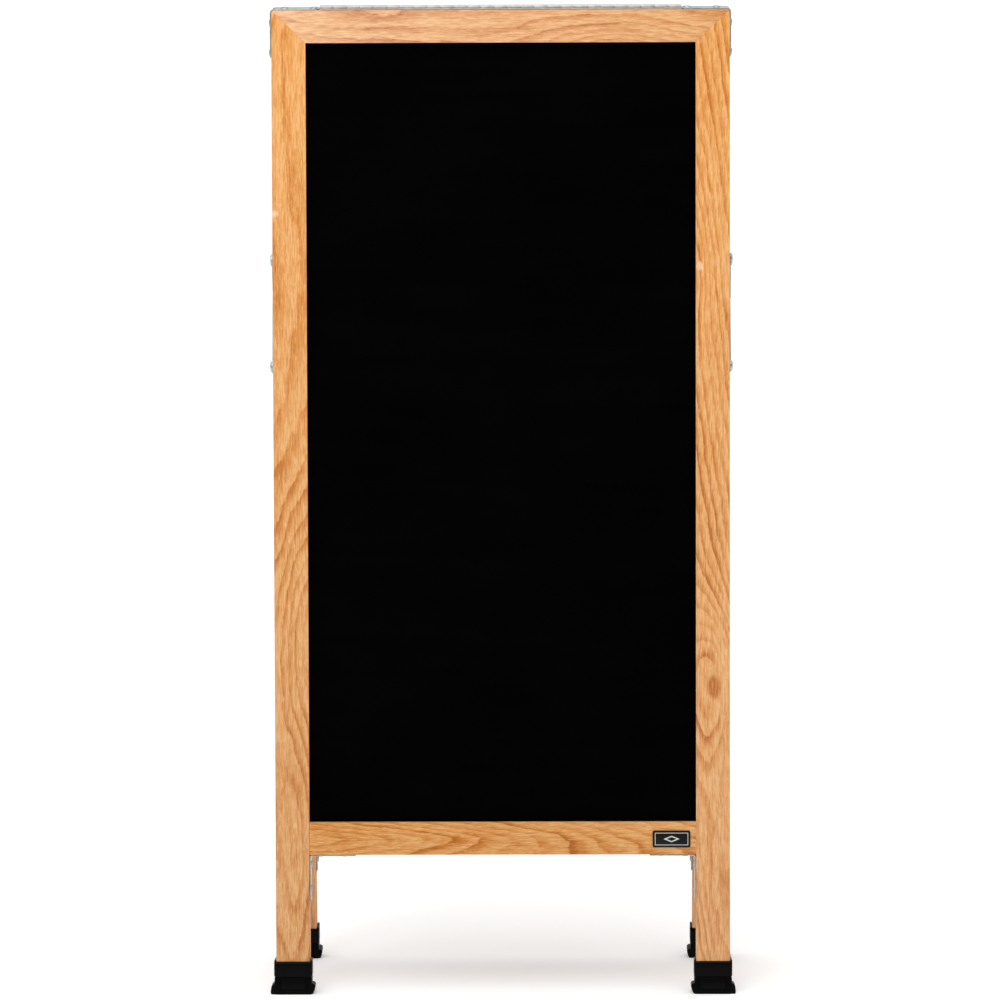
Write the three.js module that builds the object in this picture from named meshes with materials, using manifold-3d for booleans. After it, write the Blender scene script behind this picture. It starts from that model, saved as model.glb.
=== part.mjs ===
// Double-sided folding A-frame chalkboard: two oak frames hinged along the top edge,
// held apart by folding steel braces and standing on rubber boots. Millimetres, +Z up,
// fronts face -Y and +Y, origin on the floor under the middle of the sign.

import * as THREE from 'three';
import * as BufferGeometryUtils from 'three/addons/utils/BufferGeometryUtils.js';
import Module from 'manifold-3d';

// ---- overall ----
const PIN_HEIGHT = 1015;
const HALF_ANGLE_DEG = 4.1;
const GAP = 0.3;

// ---- wooden frame ----
const FRAME_WIDTH = 470;
const FRAME_THICK = 19;
const STILE_WIDTH = 35;
const TOP_RAIL = 33.5;
const BOTTOM_RAIL = 34;
const BOARD_VISIBLE = 803.5;
const LEG_LENGTH = 1006;
const WOOD_DROP = 3.05;
const WOOD_INNER = 3;
const CORNER_RADIUS = 3;

// ---- chalkboard and its groove ----
const BOARD_THICK = 3.2;
const BOARD_RECESS = 6;
const GROOVE_DEPTH = 6.3;
const GROOVE_CLEAR = 0.3;
const TENON_LENGTH = 6.2;
const TENON_INSET_TOP = 8;
const TENON_INSET_BOTTOM = 3;

// ---- piano hinge ----
const HINGE_LENGTH = 372;
const KNUCKLES = 27;
const KNUCKLE_RADIUS = 2.75;
const KNUCKLE_BORE = 1.55;
const KNUCKLE_GAP = 0.4;
const PIN_RADIUS = 1.25;
const LEAF_THICK = 1.2;
const LEAF_START = 3.5;
const LEAF_END = 19;

// ---- corner brackets ----
const STRAP_THICK = 1.4;
const STRAP_WIDTH = 16;
const STRAP_LEG = 50;
const STRAP_HOLE = 2.2;
const TOP_HOLES = [13, 43];
const LOW_HOLES = [11, 36];

// ---- screws ----
const SCREW_HEAD_RADIUS = 3.6;
const SCREW_HEAD_HEIGHT = 1.4;
const SCREW_SHANK_RADIUS = 1.7;
const SCREW_LENGTH = 9;
const PILOT_CLEAR = 0.3;

// ---- folding braces ----
const BRACE_PIVOT_DROP = 369;
const LINK_LENGTH = 113.5;
const LINK_WIDTH = 9;
const LINK_EYE = 6.5;
const LINK_THICK = 1.2;
const LINK_TAIL = 36.5;
const LINK_HOLE = 2.5;
const JOGGLE_START = 42;
const JOGGLE_END = 47;
const RIVET_SHANK = 1.6;
const RIVET_HEAD = 6.2;
const RIVET_HEIGHT = 1.4;
const RIVET_CLEAR_HOLE = 4.75;
const PIVOT_SHANK = 2.1;
const PIVOT_HEAD = 5.5;
const PIVOT_HEIGHT = 1.9;
const PIVOT_LENGTH = 14;

// ---- rubber boots ----
const BOOT_WALL = 2;
const BOOT_FRONT_HEIGHT = 33;
const BOOT_SIDE_RISE = 8;
const BOOT_SHOULDER = 4;
const FLANGE_HEIGHT = 12;
const RECESS_DEPTH = 0.9;

// ---- label ----
const LABEL_SIZE = [39, 17.5, 0.8];
const LABEL_AT = [174.5, 854.7];

const wasm = await Module();
wasm.setup();

const DEG = Math.PI / 180;
const HALF_ANGLE = HALF_ANGLE_DEG * DEG;
const HALF_WIDTH = FRAME_WIDTH / 2;
const INNER_X = HALF_WIDTH - STILE_WIDTH;
const WOOD_OUTER = WOOD_INNER + FRAME_THICK;
const WOOD_MIDDLE = WOOD_INNER + FRAME_THICK / 2;
const BOARD_BOTTOM = TOP_RAIL + BOARD_VISIBLE;
const RAIL_BOTTOM = BOARD_BOTTOM + BOTTOM_RAIL;
const BOARD_OUTER = WOOD_OUTER - BOARD_RECESS;
const BOARD_INNER = BOARD_OUTER - BOARD_THICK;
const SIDES = [['left', -1], ['right', 1]];

const materials = {
  oak: new THREE.MeshStandardMaterial({ color: 0xd9a871, roughness: 0.6 }),
  chalkboard: new THREE.MeshStandardMaterial({ color: 0x0b0c0c, roughness: 0.85 }),
  rubber: new THREE.MeshStandardMaterial({ color: 0x161616, roughness: 0.8 }),
  zinc: new THREE.MeshStandardMaterial({ color: 0xb9c0bf, roughness: 0.35, metalness: 1 }),
  label: new THREE.MeshStandardMaterial({ color: 0x101112, roughness: 0.4 }),
};

const root = new THREE.Group();
root.name = 'folding_chalkboard';

// ---------------------------------------------------------------- solids

// Welds a closed geometry, drops zero-area triangles and returns a manifold solid.
function solid(geometry) {
  const plain = geometry.clone();
  plain.deleteAttribute('normal');
  plain.deleteAttribute('uv');
  const welded = BufferGeometryUtils.mergeVertices(plain, 1e-4);
  const positions = welded.attributes.position.array;
  const index = welded.index.array;
  const kept = [];
  let volume = 0;
  for (let i = 0; i < index.length; i += 3) {
    const [a, b, c] = [index[i], index[i + 1], index[i + 2]];
    if (a === b || b === c || c === a) continue;
    kept.push(a, b, c);
    const p = new THREE.Vector3().fromArray(positions, 3 * a);
    const q = new THREE.Vector3().fromArray(positions, 3 * b);
    const r = new THREE.Vector3().fromArray(positions, 3 * c);
    volume += p.dot(q.cross(r));
  }
  if (volume < 0) kept.reverse();
  const mesh = new wasm.Mesh({
    numProp: 3,
    vertProperties: new Float32Array(positions),
    triVerts: new Uint32Array(kept),
  });
  return new wasm.Manifold(mesh);
}

// Turns a manifold solid back into a three.js geometry.
function toGeometry(body) {
  const mesh = body.getMesh();
  const geometry = new THREE.BufferGeometry();
  const positions = new Float32Array(mesh.vertProperties);
  geometry.setAttribute('position', new THREE.BufferAttribute(positions, 3));
  geometry.setIndex(new THREE.BufferAttribute(new Uint32Array(mesh.triVerts), 1));
  geometry.computeVertexNormals();
  return geometry;
}

// Joins the first solids and cuts the others away.
function carve(joined, cuts = []) {
  let body = solid(joined[0]);
  for (const part of joined.slice(1)) body = body.add(solid(part));
  for (const cut of cuts) body = body.subtract(solid(cut));
  return toGeometry(body);
}

function box(x0, x1, y0, y1, z0, z1) {
  const geometry = new THREE.BoxGeometry(Math.abs(x1 - x0), Math.abs(y1 - y0), Math.abs(z1 - z0));
  return geometry.translate((x0 + x1) / 2, (y0 + y1) / 2, (z0 + z1) / 2);
}

// A round bar from point a to point b, along one of the axes.
function rod(radius, a, b, segments = 12) {
  const from = new THREE.Vector3(...a);
  const to = new THREE.Vector3(...b);
  const along = to.clone().sub(from);
  const geometry = new THREE.CylinderGeometry(radius, radius, along.length(), segments);
  const turn = new THREE.Quaternion();
  turn.setFromUnitVectors(new THREE.Vector3(0, 1, 0), along.clone().normalize());
  geometry.applyQuaternion(turn);
  const middle = from.add(to).multiplyScalar(0.5);
  return geometry.translate(middle.x, middle.y, middle.z);
}

// Extrudes an outline drawn in X and Z along the outward direction w, which is -Y.
function plateXZ(points, w0, w1) {
  const shape = new THREE.Shape(points.map(([x, z]) => new THREE.Vector2(x, z)));
  const geometry = new THREE.ExtrudeGeometry(shape, { depth: w1 - w0, bevelEnabled: false });
  return geometry.translate(0, 0, w0).rotateX(Math.PI / 2);
}

// Extrudes a shape drawn in Y and Z along X.
function plateYZ(shape, x0, x1, curveSegments = 6) {
  const depth = Math.abs(x1 - x0);
  const geometry = new THREE.ExtrudeGeometry(shape, { depth, bevelEnabled: false, curveSegments });
  const turn = new THREE.Matrix4().makeBasis(
    new THREE.Vector3(0, 1, 0),
    new THREE.Vector3(0, 0, 1),
    new THREE.Vector3(1, 0, 0),
  );
  return geometry.applyMatrix4(turn).translate(Math.min(x0, x1), 0, 0);
}

// A domed head with its shank, standing at the origin and pointing up +Z.
function fastener(headRadius, headHeight, shankRadius, length, segments) {
  const profile = [
    [0, -length],
    [shankRadius, -length],
    [shankRadius, 0],
    [headRadius, 0],
    [headRadius * 0.94, headHeight * 0.55],
    [headRadius * 0.6, headHeight * 0.92],
    [0, headHeight],
  ];
  const points = profile.map(([x, y]) => new THREE.Vector2(x, y));
  const geometry = new THREE.LatheGeometry(points, segments);
  return toGeometry(solid(geometry.rotateX(Math.PI / 2)));
}

function add(name, geometry, slot) {
  const mesh = new THREE.Mesh(geometry, materials[slot]);
  mesh.name = name;
  root.add(mesh);
}

// ---------------------------------------------------------------- panel frame
// Pieces of a panel are drawn with the hinge pin on the X axis, hanging down -Z, with the
// written side at -Y. This leans them out to the open angle and lifts them off the floor.

function lean(geometry, turned) {
  geometry.rotateX(-HALF_ANGLE).translate(0, 0, PIN_HEIGHT);
  return turned ? geometry.rotateZ(Math.PI) : geometry;
}

function drop(geometry) {
  return geometry.translate(0, 0, -WOOD_DROP);
}

function mirrorSide(points, side) {
  const mirrored = points.map(([x, z]) => [side * x, z]);
  return side < 0 ? mirrored.reverse() : mirrored;
}

function grooveCut(x0, x1, z0, z1) {
  return box(x0, x1, -(BOARD_OUTER + GROOVE_CLEAR), -(BOARD_INNER - GROOVE_CLEAR), z0, z1);
}

const CORNER_COS = CORNER_RADIUS * Math.SQRT1_2;
const SCREW_SEAT = 2 * GAP + STRAP_THICK;

function stile(side) {
  const outline = [
    [INNER_X, -LEG_LENGTH],
    [HALF_WIDTH, -LEG_LENGTH],
    [HALF_WIDTH, -CORNER_RADIUS],
    [HALF_WIDTH - CORNER_RADIUS + CORNER_COS, -CORNER_RADIUS + CORNER_COS - GAP],
    [INNER_X, -TOP_RAIL - GAP],
  ];
  const cuts = [grooveCut(side * (INNER_X - 1), side * (INNER_X + GROOVE_DEPTH), -RAIL_BOTTOM - 1, -TOP_RAIL + 8)];
  const pilot = SCREW_SHANK_RADIUS + PILOT_CLEAR;
  for (const hole of TOP_HOLES) {
    const inner = [side * (HALF_WIDTH - SCREW_LENGTH - 0.4), -WOOD_MIDDLE, -hole];
    cuts.push(rod(pilot, [side * (HALF_WIDTH + 1), -WOOD_MIDDLE, -hole], inner, 8));
  }
  const pivotZ = -BRACE_PIVOT_DROP + WOOD_DROP;
  const pivotEnd = [side * (HALF_WIDTH - PIVOT_LENGTH - 0.5), -WOOD_MIDDLE, pivotZ];
  cuts.push(rod(PIVOT_SHANK + PILOT_CLEAR, [side * (HALF_WIDTH + 1), -WOOD_MIDDLE, pivotZ], pivotEnd, 8));
  return drop(carve([plateXZ(mirrorSide(outline, side), WOOD_INNER, WOOD_OUTER)], cuts));
}

function topRail() {
  const right = [
    [INNER_X, -TOP_RAIL],
    [HALF_WIDTH - CORNER_RADIUS + CORNER_COS, -CORNER_RADIUS + CORNER_COS],
    [HALF_WIDTH - CORNER_RADIUS, 0],
  ];
  const left = right.map(([x, z]) => [-x, z]).reverse();
  const cuts = [grooveCut(-HALF_WIDTH, HALF_WIDTH, -TOP_RAIL - 1, -TOP_RAIL + GROOVE_DEPTH)];
  const pilot = SCREW_SHANK_RADIUS + PILOT_CLEAR;
  for (const side of [-1, 1]) {
    for (const hole of TOP_HOLES) {
      const x = side * (HALF_WIDTH - hole);
      cuts.push(rod(pilot, [x, -WOOD_MIDDLE, 1], [x, -WOOD_MIDDLE, -SCREW_LENGTH - 0.4], 8));
    }
  }
  return drop(carve([plateXZ([...right, ...left], WOOD_INNER, WOOD_OUTER)], cuts));
}

function bottomRail() {
  const end = INNER_X - GAP;
  const body = box(-end, end, -WOOD_OUTER, -WOOD_INNER, -RAIL_BOTTOM, -BOARD_BOTTOM);
  const reach = end + TENON_LENGTH;
  const low = -RAIL_BOTTOM + TENON_INSET_BOTTOM;
  const high = -BOARD_BOTTOM - TENON_INSET_TOP;
  const tenon = box(-reach, reach, -BOARD_OUTER, -BOARD_INNER, low, high);
  const groove = grooveCut(-HALF_WIDTH, HALF_WIDTH, -BOARD_BOTTOM - GROOVE_DEPTH, -BOARD_BOTTOM + 1);
  return drop(carve([body, tenon], [groove]));
}

function chalkboard() {
  const reach = GROOVE_DEPTH - 0.4;
  const x = INNER_X + reach;
  const z0 = -BOARD_BOTTOM - reach;
  const z1 = -TOP_RAIL + reach;
  return drop(carve([box(-x, x, -BOARD_OUTER, -BOARD_INNER, z0, z1)]));
}

// An L-shaped strap: leg a runs along X and leg b along Z from a shared outer corner.
function strap(points, holes) {
  const y = WOOD_MIDDLE;
  const body = plateXZ(points, y - STRAP_WIDTH / 2, y + STRAP_WIDTH / 2);
  return drop(carve([body], holes));
}

// Points of an arc about (x, z), with angles in degrees.
function arcPoints(x, z, radius, start, end, steps) {
  const points = [];
  for (let i = 0; i <= steps; i += 1) {
    const angle = (start + ((end - start) * i) / steps) * DEG;
    points.push([x + radius * Math.cos(angle), z + radius * Math.sin(angle)]);
  }
  return points;
}

function topBracket(side) {
  const x = HALF_WIDTH + GAP;
  const t = STRAP_THICK;
  const bend = CORNER_RADIUS + GAP;
  const outline = [
    [x + t - STRAP_LEG, GAP],
    ...arcPoints(x - bend, GAP - bend, bend, 90, 0, 4),
    [x, GAP + t - STRAP_LEG],
    [x + t, GAP + t - STRAP_LEG],
    ...arcPoints(x - bend, GAP - bend, bend + t, 0, 90, 4),
    [x + t - STRAP_LEG, GAP + t],
  ];
  const holes = [];
  for (const hole of TOP_HOLES) {
    const along = side * (HALF_WIDTH - hole);
    holes.push(rod(STRAP_HOLE, [along, -WOOD_MIDDLE, -1], [along, -WOOD_MIDDLE, 4]));
    const inner = [side * (HALF_WIDTH - 1), -WOOD_MIDDLE, -hole];
    holes.push(rod(STRAP_HOLE, inner, [side * (HALF_WIDTH + 4), -WOOD_MIDDLE, -hole]));
  }
  return strap(mirrorSide(outline, side), holes);
}

function lowBracket(side) {
  const x = INNER_X - GAP;
  const z = -RAIL_BOTTOM - GAP;
  const t = STRAP_THICK;
  const leg = STRAP_LEG - 2;
  const outline = [
    [x - leg, z],
    [x - leg, z - t],
    [x - t - 1.2, z - t],
    [x - t, z - t - 1.2],
    [x - t, z - leg],
    [x, z - leg],
    [x, z - 1.6],
    [x - 0.5, z - 0.5],
    [x - 1.6, z],
  ];
  const holes = [];
  for (const hole of LOW_HOLES) {
    const along = side * (x - hole);
    holes.push(rod(STRAP_HOLE, [along, -WOOD_MIDDLE, z - 4], [along, -WOOD_MIDDLE, z + 1]));
    const inner = [side * (x - 4), -WOOD_MIDDLE, z - hole];
    holes.push(rod(STRAP_HOLE, inner, [side * (x + 1), -WOOD_MIDDLE, z - hole]));
  }
  return strap(mirrorSide(outline, side), holes);
}

// One leaf of the piano hinge with every second knuckle of the barrel.
function hingeLeaf(firstKnuckle) {
  const pitch = HINGE_LENGTH / KNUCKLES;
  const low = -KNUCKLE_RADIUS;
  const high = low + LEAF_THICK;
  const meet = Math.PI - Math.asin(high / KNUCKLE_RADIUS);
  const parts = [box(-HINGE_LENGTH / 2, HINGE_LENGTH / 2, -LEAF_END, -LEAF_START, low, high)];
  for (let i = firstKnuckle; i < KNUCKLES; i += 2) {
    const shape = new THREE.Shape();
    shape.moveTo(-LEAF_START - 0.2, low);
    shape.lineTo(0, low);
    shape.absarc(0, 0, KNUCKLE_RADIUS, -Math.PI / 2, meet, false);
    shape.lineTo(-LEAF_START - 0.2, high);
    const bore = new THREE.Path();
    bore.absarc(0, 0, KNUCKLE_BORE, 0, 2 * Math.PI, true);
    shape.holes.push(bore);
    const centre = (i - (KNUCKLES - 1) / 2) * pitch;
    const half = (pitch - KNUCKLE_GAP) / 2;
    parts.push(plateYZ(shape, centre - half, centre + half, 5));
  }
  return carve(parts);
}

// A rubber boot around the end of a leg, cut flat where it stands on the floor.
function boot(side, turned) {
  const soleDrop = (PIN_HEIGHT + WOOD_OUTER * Math.sin(HALF_ANGLE)) / Math.cos(HALF_ANGLE);
  const wall = BOOT_WALL + GAP;
  const x0 = INNER_X - wall;
  const x1 = HALF_WIDTH + wall;
  const y0 = -(WOOD_OUTER + wall);
  const y1 = -(WOOD_INNER - wall);
  const rim = -soleDrop + BOOT_FRONT_HEIGHT;
  const floor = -soleDrop - 12;
  const side2 = rim + BOOT_SIDE_RISE;
  const profile = [
    [y0, floor],
    [y1, floor],
    [y1, rim],
    [y1 - BOOT_SHOULDER, side2],
    [y0 + BOOT_SHOULDER, side2],
    [y0, rim],
  ];
  const outline = new THREE.Shape(profile.map(([y, z]) => new THREE.Vector2(y, z)));
  const cup = plateYZ(outline, side * x0, side * x1);
  const top = -soleDrop + FLANGE_HEIGHT;
  const outer = [[x1 - 1, floor], [x1 + 3.8, floor], [x1 + 1.9, top], [x1 - 1, top + 0.8]];
  const inner = [[x0 + 1, floor], [x0 - 0.6, floor], [x0 - 3.4, top - 2], [x0 - 3.4, top], [x0 + 1, top + 0.8]];
  const outerFlange = plateXZ(mirrorSide(outer, side), WOOD_INNER - 1, WOOD_OUTER + 1.4);
  const innerFlange = plateXZ(mirrorSide(inner, side).reverse(), WOOD_INNER - 1, WOOD_OUTER + 1.4);
  const cuts = [
    box(side * (INNER_X - GAP), side * (HALF_WIDTH + GAP), -(WOOD_OUTER + GAP), -(WOOD_INNER - GAP),
      -LEG_LENGTH - WOOD_DROP - GAP, side2 + 10),
    box(side * (INNER_X - GAP), side * (HALF_WIDTH + GAP), y0 - 1, -WOOD_OUTER, rim, side2 + 10),
    box(side * (INNER_X - GAP), side * (HALF_WIDTH + GAP), -WOOD_INNER, y1 + 1, rim, side2 + 10),
    box(side * (INNER_X + 3.5), side * (HALF_WIDTH - 3.5), y0 - 1, y0 + RECESS_DEPTH,
      -soleDrop + 3, -soleDrop + 18),
  ];
  const shaped = lean(carve([cup, outerFlange, innerFlange], cuts), turned);
  const under = box(-400, 400, -200, 200, -60, 0);
  return toGeometry(solid(shaped).subtract(solid(under)));
}

function panel(name, turned) {
  const put = (part, geometry, slot) => add(`${name}_${part}`, lean(geometry, turned), slot);
  put('top_rail', topRail(), 'oak');
  put('bottom_rail', bottomRail(), 'oak');
  put('chalkboard', chalkboard(), 'chalkboard');
  put('hinge_leaf', hingeLeaf(turned ? 1 : 0), 'zinc');
  for (const [sideName, worldSide] of SIDES) {
    const side = turned ? -worldSide : worldSide;
    put(`stile_${sideName}`, stile(side), 'oak');
    put(`top_bracket_${sideName}`, topBracket(side), 'zinc');
    put(`low_bracket_${sideName}`, lowBracket(side), 'zinc');
    add(`${name}_boot_${sideName}`, boot(side, turned), 'rubber');
    const screw = () => fastener(SCREW_HEAD_RADIUS, SCREW_HEAD_HEIGHT, SCREW_SHANK_RADIUS,
      SCREW_LENGTH + SCREW_SEAT, 10);
    for (const [i, hole] of TOP_HOLES.entries()) {
      const onTop = screw().translate(side * (HALF_WIDTH - hole), -WOOD_MIDDLE, SCREW_SEAT);
      put(`screw_top_${sideName}_${i + 1}`, drop(onTop), 'zinc');
      const onSide = screw().rotateY(side * Math.PI / 2);
      onSide.translate(side * (HALF_WIDTH + SCREW_SEAT), -WOOD_MIDDLE, -hole);
      put(`screw_side_${sideName}_${i + 1}`, drop(onSide), 'zinc');
    }
    const pivot = fastener(PIVOT_HEAD, PIVOT_HEIGHT, PIVOT_SHANK, PIVOT_LENGTH + 2 * GAP + LINK_THICK, 12);
    pivot.rotateY(side * Math.PI / 2);
    pivot.translate(side * (HALF_WIDTH + 2 * GAP + LINK_THICK), -WOOD_MIDDLE, -BRACE_PIVOT_DROP);
    put(`brace_pivot_${sideName}`, pivot, 'zinc');
  }
}

// ---------------------------------------------------------------- braces
// Both links are drawn upright with their frame pivot at the origin and turned so that
// they meet on the middle plane of the sign.

const PIVOT_Y = WOOD_MIDDLE * Math.cos(HALF_ANGLE) + BRACE_PIVOT_DROP * Math.sin(HALF_ANGLE);
const PIVOT_Z = PIN_HEIGHT + WOOD_MIDDLE * Math.sin(HALF_ANGLE) - BRACE_PIVOT_DROP * Math.cos(HALF_ANGLE);
const LINK_ANGLE = Math.asin(PIVOT_Y / LINK_LENGTH);
const LAYER_1 = HALF_WIDTH + GAP;
const LAYER_2 = LAYER_1 + LINK_THICK + GAP;
const LAYER_3 = LAYER_2 + LINK_THICK + GAP;

function placeLink(geometry, turned) {
  geometry.rotateX(-LINK_ANGLE).translate(0, -PIVOT_Y, PIVOT_Z);
  return turned ? geometry.rotateZ(Math.PI) : geometry;
}

// A flat bar with a round eye at each pivot; tail is how far it runs past the upper one.
function linkShape(tail) {
  const half = LINK_WIDTH / 2;
  const neck = Math.asin(half / LINK_EYE) / DEG;
  const side = 90 - neck;
  const top = LINK_LENGTH + tail - half;
  const points = arcPoints(0, 0, LINK_EYE, 90 + neck, 450 - neck, 12);
  if (tail) {
    points.push(...arcPoints(0, LINK_LENGTH, LINK_EYE, -side, side, 4));
    points.push(...arcPoints(0, top, half, 0, 180, 6));
    points.push(...arcPoints(0, LINK_LENGTH, LINK_EYE, 180 - side, 180 + side, 4));
  } else {
    points.push(...arcPoints(0, LINK_LENGTH, LINK_EYE, -side, 180 + side, 12));
  }
  return new THREE.Shape(points.map(([y, z]) => new THREE.Vector2(y, z)));
}

function linkHole(radius, z) {
  return rod(radius, [-HALF_WIDTH - 20, 0, z], [HALF_WIDTH + 20, 0, z]);
}

function frontLink(side) {
  const bar = plateYZ(linkShape(LINK_TAIL), side * LAYER_1, side * (LAYER_1 + LINK_THICK));
  return carve([bar], [linkHole(LINK_HOLE, 0), linkHole(RIVET_SHANK + GAP, LINK_LENGTH)]);
}

function rearLink(side) {
  const t = LINK_THICK;
  const start = LINK_LENGTH - JOGGLE_START;
  const end = LINK_LENGTH - JOGGLE_END;
  const strip = [
    [LAYER_1, -20],
    [LAYER_1 + t, -20],
    [LAYER_1 + t, end - 0.4],
    [LAYER_2 + t, start - 0.4],
    [LAYER_2 + t, LINK_LENGTH + 20],
    [LAYER_2, LINK_LENGTH + 20],
    [LAYER_2, start],
    [LAYER_1, end],
  ];
  const bent = plateXZ(mirrorSide(strip, side), -LINK_WIDTH, LINK_WIDTH);
  const blank = plateYZ(linkShape(0), side * (LAYER_1 - 1), side * (LAYER_3 + 1));
  let body = solid(bent).intersect(solid(blank));
  body = body.subtract(solid(linkHole(LINK_HOLE, 0)));
  body = body.subtract(solid(linkHole(RIVET_CLEAR_HOLE, LINK_LENGTH)));
  return toGeometry(body);
}

function brace(sideName, side) {
  add(`front_link_${sideName}`, placeLink(frontLink(side), false), 'zinc');
  add(`rear_link_${sideName}`, placeLink(rearLink(-side), true), 'zinc');
  const rivet = fastener(RIVET_HEAD, RIVET_HEIGHT, RIVET_SHANK, LAYER_3 - LAYER_1, 14);
  rivet.rotateY(side * Math.PI / 2).translate(side * LAYER_3, 0, LINK_LENGTH);
  add(`brace_rivet_${sideName}`, placeLink(rivet, false), 'zinc');
}

// ---------------------------------------------------------------- assembly

panel('front', false);
panel('rear', true);

const hingePin = carve([rod(PIN_RADIUS, [-HINGE_LENGTH / 2, 0, 0], [HINGE_LENGTH / 2, 0, 0], 10)]);
add('hinge_pin', lean(hingePin, false), 'zinc');

for (const [sideName, side] of SIDES) brace(sideName, side);

const [labelW, labelH, labelT] = LABEL_SIZE;
const [labelX, labelS] = LABEL_AT;
const labelPlate = box(
  labelX - labelW / 2,
  labelX + labelW / 2,
  -(WOOD_OUTER + GAP + labelT),
  -(WOOD_OUTER + GAP),
  -labelS - labelH / 2,
  -labelS + labelH / 2,
);
add('label_plate', lean(drop(carve([labelPlate])), false), 'label');

export default root;
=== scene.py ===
import math
import random

import bmesh
import bpy
from mathutils import Matrix, Vector


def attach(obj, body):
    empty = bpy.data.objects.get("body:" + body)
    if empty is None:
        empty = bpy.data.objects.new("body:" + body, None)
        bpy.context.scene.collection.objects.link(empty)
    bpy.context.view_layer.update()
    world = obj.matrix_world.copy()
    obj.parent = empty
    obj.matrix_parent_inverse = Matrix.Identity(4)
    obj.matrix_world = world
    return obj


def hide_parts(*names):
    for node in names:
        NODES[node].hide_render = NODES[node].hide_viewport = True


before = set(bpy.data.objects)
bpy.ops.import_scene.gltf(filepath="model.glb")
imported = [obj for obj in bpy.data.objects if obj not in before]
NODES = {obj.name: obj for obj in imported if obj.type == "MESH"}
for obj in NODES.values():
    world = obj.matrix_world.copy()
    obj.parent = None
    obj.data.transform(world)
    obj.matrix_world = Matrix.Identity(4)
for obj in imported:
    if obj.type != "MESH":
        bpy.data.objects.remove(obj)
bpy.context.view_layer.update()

# ---------------------------------------------------------------- sizes
# In metres, and as in the CAD part. FIT is the gap left between pieces that touch.
MM = 0.001
PIN_HEIGHT = 1015 * MM
HALF_ANGLE = math.radians(4.1)
GAP = 0.3 * MM
FIT = 0.06 * MM
HALF_WIDTH = 235 * MM
INNER_X = 200 * MM
TOP_RAIL = 33.5 * MM
BOARD_BOTTOM = 837 * MM
RAIL_BOTTOM = 871 * MM
LEG_LENGTH = 1006 * MM
CORNER = 3 * MM
WOOD_DROP = 3.05 * MM
WOOD_INNER = 3 * MM
WOOD_OUTER = 22 * MM
WOOD_MIDDLE = 12.5 * MM
BOARD_OUTER = 16 * MM
BOARD_INNER = 12.8 * MM
BOARD_IN_GROOVE = 5.9 * MM
STRAP_THICK = 1.4 * MM
STRAP_WIDTH = 16 * MM
STRAP_LEG = 50 * MM
TOP_HOLES = (13 * MM, 43 * MM)
LOW_HOLES = (11 * MM, 36 * MM)
BRACE_DROP = 369 * MM
LINK_LENGTH = 113.5 * MM
LINK_WIDTH = 9 * MM
LINK_EYE = 6.5 * MM
LINK_THICK = 1.2 * MM
LINK_TAIL = 36.5 * MM
HINGE_LENGTH = 372 * MM
KNUCKLES = 27
KNUCKLE_RADIUS = 2.75 * MM
KNUCKLE_GAP = 0.4 * MM
LEAF_THICK = 1.2 * MM
LEAF_START = 3.5 * MM
LEAF_END = 19 * MM
BOOT_HEIGHT = 33 * MM
BOOT_SIDE_RISE = 8 * MM
LABEL_WIDTH = 39 * MM
LABEL_HEIGHT = 17.5 * MM
LABEL_PLACE = (174.5 * MM, -854.7 * MM - WOOD_DROP)

PIVOT_Y = WOOD_MIDDLE * math.cos(HALF_ANGLE) + BRACE_DROP * math.sin(HALF_ANGLE)
PIVOT_Z = PIN_HEIGHT + WOOD_MIDDLE * math.sin(HALF_ANGLE) - BRACE_DROP * math.cos(HALF_ANGLE)
LINK_ANGLE = math.asin(PIVOT_Y / LINK_LENGTH)

PANELS = {"front": Matrix.Translation((0, 0, PIN_HEIGHT)) @ Matrix.Rotation(-HALF_ANGLE, 4, "X")}
PANELS["rear"] = Matrix.Rotation(math.pi, 4, "Z") @ PANELS["front"]
LINKS = {"front": Matrix.Translation((0, -PIVOT_Y, PIVOT_Z)) @ Matrix.Rotation(-LINK_ANGLE, 4, "X")}
LINKS["rear"] = Matrix.Rotation(math.pi, 4, "Z") @ LINKS["front"]
SIDES = (("left", -1), ("right", 1))


# ---------------------------------------------------------------- camera
CAMERA_PLACE = Vector((54.8, -5610.3, 257.6)) * MM
CAMERA_YAW, CAMERA_PITCH, CAMERA_ROLL = (math.radians(x) for x in (0.584, 7.804, -0.212))
CAMERA_LENS = 195.87


def make_camera():
    data = bpy.data.cameras.new("camera")
    data.lens = CAMERA_LENS
    data.sensor_width = 36
    data.clip_start, data.clip_end = 0.1, 60
    cam = bpy.data.objects.new("camera", data)
    bpy.context.scene.collection.objects.link(cam)
    cy, sy = math.cos(CAMERA_YAW), math.sin(CAMERA_YAW)
    cp, sp = math.cos(CAMERA_PITCH), math.sin(CAMERA_PITCH)
    right = Vector((cy, sy, 0))
    ahead = Vector((-sy * cp, cy * cp, -sp))
    up = Vector((-sy * sp, cy * sp, cp))
    cr, sr = math.cos(CAMERA_ROLL), math.sin(CAMERA_ROLL)
    right, up = cr * right + sr * up, -sr * right + cr * up
    turn = Matrix((right, up, -ahead)).transposed().to_4x4()
    place = CAMERA_PLACE + Vector((0, 0, PIN_HEIGHT))
    cam.matrix_world = Matrix.Translation(place) @ turn
    bpy.context.scene.camera = cam


make_camera()


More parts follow.
